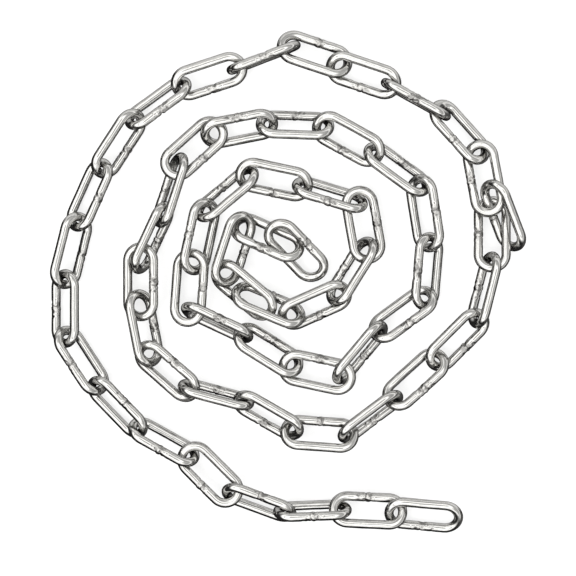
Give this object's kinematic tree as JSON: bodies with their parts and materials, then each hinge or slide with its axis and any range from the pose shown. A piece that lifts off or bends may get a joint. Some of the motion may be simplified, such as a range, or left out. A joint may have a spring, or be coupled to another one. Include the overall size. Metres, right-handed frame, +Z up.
{
  "type": "long-link chain",
  "caption": "Length of welded long-link round-bar chain laid flat in a loose inward spiral, with a free link at each end.",
  "frame": {"origin": "middle of the chain's box on the surface it lies on", "axes": "+Z up off the surface, +Y the longer side of the laid spiral, +X the shorter side"},
  "size_m": [0.4096, 0.4334, 0.0369],
  "materials": {
    "stainless_bar": "polished stainless steel, electropolished, with light tumbling marks"
  },
  "bodies": {
    "link_01": {"link_01": "stainless_bar"},
    "link_02": {"link_02": "stainless_bar"},
    "link_03": {"link_03": "stainless_bar"},
    "link_04": {"link_04": "stainless_bar"},
    "link_05": {"link_05": "stainless_bar"},
    "link_06": {"link_06": "stainless_bar"},
    "link_07": {"link_07": "stainless_bar"},
    "link_08": {"link_08": "stainless_bar"},
    "link_09": {"link_09": "stainless_bar"},
    "link_10": {"link_10": "stainless_bar"},
    "link_11": {"link_11": "stainless_bar"},
    "link_12": {"link_12": "stainless_bar"},
    "link_13": {"link_13": "stainless_bar"},
    "link_14": {"link_14": "stainless_bar"},
    "link_15": {"link_15": "stainless_bar"},
    "link_16": {"link_16": "stainless_bar"},
    "link_17": {"link_17": "stainless_bar"},
    "link_18": {"link_18": "stainless_bar"},
    "link_19": {"link_19": "stainless_bar"},
    "link_20": {"link_20": "stainless_bar"},
    "link_21": {"link_21": "stainless_bar"},
    "link_22": {"link_22": "stainless_bar"},
    "link_23": {"link_23": "stainless_bar"},
    "link_24": {"link_24": "stainless_bar"},
    "link_25": {"link_25": "stainless_bar"},
    "link_26": {"link_26": "stainless_bar"},
    "link_27": {"link_27": "stainless_bar"},
    "link_28": {"link_28": "stainless_bar"},
    "link_29": {"link_29": "stainless_bar"},
    "link_30": {"link_30": "stainless_bar"},
    "link_31": {"link_31": "stainless_bar"},
    "link_32": {"link_32": "stainless_bar"},
    "link_33": {"link_33": "stainless_bar"},
    "link_34": {"link_34": "stainless_bar"},
    "link_35": {"link_35": "stainless_bar"},
    "link_36": {"link_36": "stainless_bar"},
    "link_37": {"link_37": "stainless_bar"},
    "link_38": {"link_38": "stainless_bar"},
    "link_39": {"link_39": "stainless_bar"},
    "link_40": {"link_40": "stainless_bar"},
    "link_41": {"link_41": "stainless_bar"},
    "link_42": {"link_42": "stainless_bar"},
    "link_43": {"link_43": "stainless_bar"},
    "link_44": {"link_44": "stainless_bar"},
    "link_45": {"link_45": "stainless_bar"},
    "link_46": {"link_46": "stainless_bar"},
    "link_47": {"link_47": "stainless_bar"},
    "link_48": {"link_48": "stainless_bar"},
    "link_49": {"link_49": "stainless_bar"},
    "link_50": {"link_50": "stainless_bar"},
    "link_51": {"link_51": "stainless_bar"},
    "link_52": {"link_52": "stainless_bar"},
    "link_53": {"link_53": "stainless_bar"},
    "link_54": {"link_54": "stainless_bar"},
    "link_55": {"link_55": "stainless_bar"},
    "link_56": {"link_56": "stainless_bar"},
    "link_57": {"link_57": "stainless_bar"},
    "link_58": {"link_58": "stainless_bar"},
    "link_59": {"link_59": "stainless_bar"}
  },
  "joints": [
    {"name": "interlock_01_02", "type": "hinge", "parent": "link_01", "child": "link_02", "pos_m": [0.09311, -0.19848, 0.01175], "axis": [-0.0698, -0.9976, 0], "range_deg": [-11, 7]},
    {"name": "interlock_02_03", "type": "hinge", "parent": "link_02", "child": "link_03", "pos_m": [0.04514, -0.1957, 0.0157], "axis": [-0.0397, 0.7075, -0.7056], "range_deg": [-14, 14]},
    {"name": "interlock_03_04", "type": "hinge", "parent": "link_03", "child": "link_04", "pos_m": [-0.00276, -0.19916, 0.01733], "axis": [-0.0593, -0.2526, -0.9657], "range_deg": [-16, 16]},
    {"name": "interlock_04_05", "type": "hinge", "parent": "link_04", "child": "link_05", "pos_m": [-0.04937, -0.18348, 0.01467], "axis": [-0.4593, -0.7342, -0.4999], "range_deg": [-6, 20]},
    {"name": "interlock_05_06", "type": "hinge", "parent": "link_05", "child": "link_06", "pos_m": [-0.08437, -0.14867, 0.01421], "axis": [-0.523, -0.6903, 0.5], "range_deg": [-17, 28]},
    {"name": "interlock_06_07", "type": "hinge", "parent": "link_06", "child": "link_07", "pos_m": [-0.12959, -0.12653, 0.01425], "axis": [-0.3086, -0.3934, 0.866], "range_deg": [-20, 24]},
    {"name": "interlock_07_08", "type": "hinge", "parent": "link_07", "child": "link_08", "pos_m": [-0.16464, -0.0898, 0.0136], "axis": [0.3983, 0.3025, -0.866], "range_deg": [-25, 21]},
    {"name": "interlock_08_09", "type": "hinge", "parent": "link_08", "child": "link_09", "pos_m": [-0.19306, -0.04793, 0.01286], "axis": [-0.6794, -0.196, 0.7071], "range_deg": [-16, 30]},
    {"name": "interlock_09_10", "type": "hinge", "parent": "link_09", "child": "link_10", "pos_m": [-0.19302, 0.00244, 0.01289], "axis": [0.8596, -0.1055, 0.5], "range_deg": [-26, 25]},
    {"name": "interlock_10_11", "type": "hinge", "parent": "link_10", "child": "link_11", "pos_m": [-0.18136, 0.05184, 0.01289], "axis": [-0.9455, 0.3256, 0], "range_deg": [-30, 21]},
    {"name": "interlock_11_12", "type": "hinge", "parent": "link_11", "child": "link_12", "pos_m": [-0.16045, 0.09812, 0.01283], "axis": [0.6258, -0.3293, -0.707], "range_deg": [-23, 25]},
    {"name": "interlock_12_13", "type": "hinge", "parent": "link_12", "child": "link_13", "pos_m": [-0.13286, 0.14025, 0.01428], "axis": [-0.7254, 0.6884, 0], "range_deg": [-19, 30]},
    {"name": "interlock_13_14", "type": "hinge", "parent": "link_13", "child": "link_14", "pos_m": [-0.09201, 0.16968, 0.01415], "axis": [0.3838, -0.7764, 0.4999], "range_deg": [-21, 29]},
    {"name": "interlock_14_15", "type": "hinge", "parent": "link_14", "child": "link_15", "pos_m": [-0.04414, 0.18425, 0.01648], "axis": [-0.25, 0.6616, 0.707], "range_deg": [-26, 28]},
    {"name": "interlock_15_16", "type": "hinge", "parent": "link_15", "child": "link_16", "pos_m": [0.00095, 0.20447, 0.01663], "axis": [-0.0394, -0.5013, -0.8644], "range_deg": [-30, 10]},
    {"name": "interlock_16_17", "type": "hinge", "parent": "link_16", "child": "link_17", "pos_m": [0.0442, 0.18724, 0.00994], "axis": [0.3173, 0.9483, 0], "range_deg": [-30, 10]},
    {"name": "interlock_17_18", "type": "hinge", "parent": "link_17", "child": "link_18", "pos_m": [0.08858, 0.16991, 0.01663], "axis": [-0.2503, -0.6626, -0.7059], "range_deg": [-19, 14]},
    {"name": "interlock_18_19", "type": "hinge", "parent": "link_18", "child": "link_19", "pos_m": [0.1322, 0.14686, 0.01495], "axis": [0.4332, 0.5589, -0.7071], "range_deg": [-7, 27]},
    {"name": "interlock_19_20", "type": "hinge", "parent": "link_19", "child": "link_20", "pos_m": [0.16606, 0.11251, 0.01231], "axis": [-0.8983, -0.4393, 0], "range_deg": [-30, 8]},
    {"name": "interlock_20_21", "type": "hinge", "parent": "link_20", "child": "link_21", "pos_m": [0.17429, 0.07173, 0.02338], "axis": [0.6944, 0.1434, 0.7052], "range_deg": [-1.5, 30]},
    {"name": "interlock_21_22", "type": "hinge", "parent": "link_21", "child": "link_22", "pos_m": [0.18628, 0.05014, 0.00757], "axis": [-0.9834, -0.1815, 0], "range_deg": [-0.7, 30]},
    {"name": "interlock_22_23", "type": "hinge", "parent": "link_22", "child": "link_23", "pos_m": [0.17598, 0.01698, 0.01938], "axis": [0.8647, -0.0675, 0.4977], "range_deg": [-24, 16]},
    {"name": "interlock_23_24", "type": "hinge", "parent": "link_23", "child": "link_24", "pos_m": [0.16458, -0.03245, 0.01528], "axis": [-0.8704, 0.4924, 0], "range_deg": [-21, 25]},
    {"name": "interlock_24_25", "type": "hinge", "parent": "link_24", "child": "link_25", "pos_m": [0.12864, -0.06759, 0.01101], "axis": [0.6884, -0.7254, 0], "range_deg": [-23, 30]},
    {"name": "interlock_25_26", "type": "hinge", "parent": "link_25", "child": "link_26", "pos_m": [0.09148, -0.10099, 0.01543], "axis": [-0.636, 0.7717, 0], "range_deg": [-27, 28]},
    {"name": "interlock_26_27", "type": "hinge", "parent": "link_26", "child": "link_27", "pos_m": [0.05209, -0.13358, 0.01534], "axis": [-0.2841, 0.9588, 0], "range_deg": [-30, 10]},
    {"name": "interlock_27_28", "type": "hinge", "parent": "link_27", "child": "link_28", "pos_m": [0.00314, -0.12946, 0.01344], "axis": [0.2923, 0.9563, 0], "range_deg": [-30, 7]},
    {"name": "interlock_28_29", "type": "hinge", "parent": "link_28", "child": "link_29", "pos_m": [-0.03788, -0.1024, 0.0159], "axis": [-0.3826, -0.9239, 0], "range_deg": [-5, 17]},
    {"name": "interlock_29_30", "type": "hinge", "parent": "link_29", "child": "link_30", "pos_m": [-0.08607, -0.09295, 0.01593], "axis": [0.4693, 0.883, 0], "range_deg": [-8, 30]},
    {"name": "interlock_30_31", "type": "hinge", "parent": "link_30", "child": "link_31", "pos_m": [-0.12233, -0.06341, 0.01277], "axis": [-0.446, -0.2275, 0.8656], "range_deg": [-3, 17]},
    {"name": "interlock_31_32", "type": "hinge", "parent": "link_31", "child": "link_32", "pos_m": [-0.12825, -0.02027, 0.01279], "axis": [0.8631, 0.0716, 0.4999], "range_deg": [-13, 11]},
    {"name": "interlock_32_33", "type": "hinge", "parent": "link_32", "child": "link_33", "pos_m": [-0.12823, 0.02038, 0.01537], "axis": [-0.9763, 0.2166, 0], "range_deg": [-26, 9]},
    {"name": "interlock_33_34", "type": "hinge", "parent": "link_33", "child": "link_34", "pos_m": [-0.10718, 0.05782, 0.01528], "axis": [0.8987, -0.354, -0.2588], "range_deg": [-4, 26]},
    {"name": "interlock_34_35", "type": "hinge", "parent": "link_34", "child": "link_35", "pos_m": [-0.09738, 0.10124, 0.0154], "axis": [-0.7179, 0.4847, 0.4998], "range_deg": [-25, 13]},
    {"name": "interlock_35_36", "type": "hinge", "parent": "link_35", "child": "link_36", "pos_m": [-0.06498, 0.13065, 0.01196], "axis": [0.2415, -0.4383, 0.8658], "range_deg": [-3, 17]},
    {"name": "interlock_36_37", "type": "hinge", "parent": "link_36", "child": "link_37", "pos_m": [-0.01816, 0.13688, 0.01291], "axis": [0.0785, -0.9969, 0], "range_deg": [-30, 30]},
    {"name": "interlock_37_38", "type": "hinge", "parent": "link_37", "child": "link_38", "pos_m": [0.03099, 0.13574, 0.01286], "axis": [-0.2672, -0.9636, 0], "range_deg": [-25, 12]},
    {"name": "interlock_38_39", "type": "hinge", "parent": "link_38", "child": "link_39", "pos_m": [0.0741, 0.11154, 0.01362], "axis": [0.5373, 0.8434, 0], "range_deg": [-30, 30]},
    {"name": "interlock_39_40", "type": "hinge", "parent": "link_39", "child": "link_40", "pos_m": [0.1159, 0.08399, 0.01363], "axis": [-0.8526, -0.5225, 0], "range_deg": [-8, 5]},
    {"name": "interlock_40_41", "type": "hinge", "parent": "link_40", "child": "link_41", "pos_m": [0.12277, 0.03412, 0.0127], "axis": [0.9994, 0.0349, 0], "range_deg": [-27, 25]},
    {"name": "interlock_41_42", "type": "hinge", "parent": "link_41", "child": "link_42", "pos_m": [0.12043, -0.01564, 0.01264], "axis": [0.6062, -0.3646, -0.7069], "range_deg": [-30, 1.5]},
    {"name": "interlock_42_43", "type": "hinge", "parent": "link_42", "child": "link_43", "pos_m": [0.07813, -0.04182, 0.01537], "axis": [0.5997, -0.6249, 0.4998], "range_deg": [-20, 27]},
    {"name": "interlock_43_44", "type": "hinge", "parent": "link_43", "child": "link_44", "pos_m": [0.04862, -0.08411, 0.0154], "axis": [-0.2656, 0.8245, -0.4997], "range_deg": [-18, 27]},
    {"name": "interlock_44_45", "type": "hinge", "parent": "link_44", "child": "link_45", "pos_m": [0.00216, -0.07333, 0.01185], "axis": [-0.3746, -0.9272, 0], "range_deg": [-17, 7]},
    {"name": "interlock_45_46", "type": "hinge", "parent": "link_45", "child": "link_46", "pos_m": [-0.03798, -0.04542, 0.01581], "axis": [-0.4771, -0.8789, 0], "range_deg": [-21, 18]},
    {"name": "interlock_46_47", "type": "hinge", "parent": "link_46", "child": "link_47", "pos_m": [-0.08753, -0.0286, 0.01581], "axis": [0.8612, 0.5082, 0], "range_deg": [-8, 30]},
    {"name": "interlock_47_48", "type": "hinge", "parent": "link_47", "child": "link_48", "pos_m": [-0.08246, 0.01726, 0.0119], "axis": [0.9903, -0.1392, 0], "range_deg": [-10, 29]},
    {"name": "interlock_48_49", "type": "hinge", "parent": "link_48", "child": "link_49", "pos_m": [-0.07276, 0.06251, 0.01431], "axis": [-0.6139, 0.3512, 0.7069], "range_deg": [-2, 30]},
    {"name": "interlock_49_50", "type": "hinge", "parent": "link_49", "child": "link_50", "pos_m": [-0.03557, 0.09475, 0.01421], "axis": [-0.2419, 0.9703, 0], "range_deg": [-4, 13]},
    {"name": "interlock_50_51", "type": "hinge", "parent": "link_50", "child": "link_51", "pos_m": [0.01244, 0.08276, 0.01481], "axis": [0.2504, 0.9681, 0], "range_deg": [-30, 30]},
    {"name": "interlock_51_52", "type": "hinge", "parent": "link_51", "child": "link_52", "pos_m": [0.06235, 0.07238, 0.01481], "axis": [0.7489, 0.6626, 0], "range_deg": [-22, 5]},
    {"name": "interlock_52_53", "type": "hinge", "parent": "link_52", "child": "link_53", "pos_m": [0.07067, 0.02694, 0.01421], "axis": [0.9485, -0.1828, -0.2588], "range_deg": [-19, 9]},
    {"name": "interlock_53_54", "type": "hinge", "parent": "link_53", "child": "link_54", "pos_m": [0.04486, -0.01213, 0.01428], "axis": [-0.6561, 0.7547, 0], "range_deg": [-7, 19]},
    {"name": "interlock_54_55", "type": "hinge", "parent": "link_54", "child": "link_55", "pos_m": [0.00322, -0.03197, 0.01383], "axis": [0.0087, -1, 0], "range_deg": [-5, 12]},
    {"name": "interlock_55_56", "type": "hinge", "parent": "link_55", "child": "link_56", "pos_m": [-0.02973, -0.01726, 0.01503], "axis": [0.1654, 0.2022, -0.9653], "range_deg": [-7, 5]},
    {"name": "interlock_56_57", "type": "hinge", "parent": "link_56", "child": "link_57", "pos_m": [-0.05847, 0.00588, 0.01281], "axis": [-0.8328, -0.2375, -0.5], "range_deg": [-29, 9]},
    {"name": "interlock_57_58", "type": "hinge", "parent": "link_57", "child": "link_58", "pos_m": [-0.04137, 0.05327, 0.01503], "axis": [0.1953, -0.6873, 0.6996], "range_deg": [-24, 22]},
    {"name": "interlock_58_59", "type": "hinge", "parent": "link_58", "child": "link_59", "pos_m": [-0.00183, 0.03684, 0.02105], "axis": [0.3398, 0.3727, 0.8635], "range_deg": [-12, 4]}
  ]
}
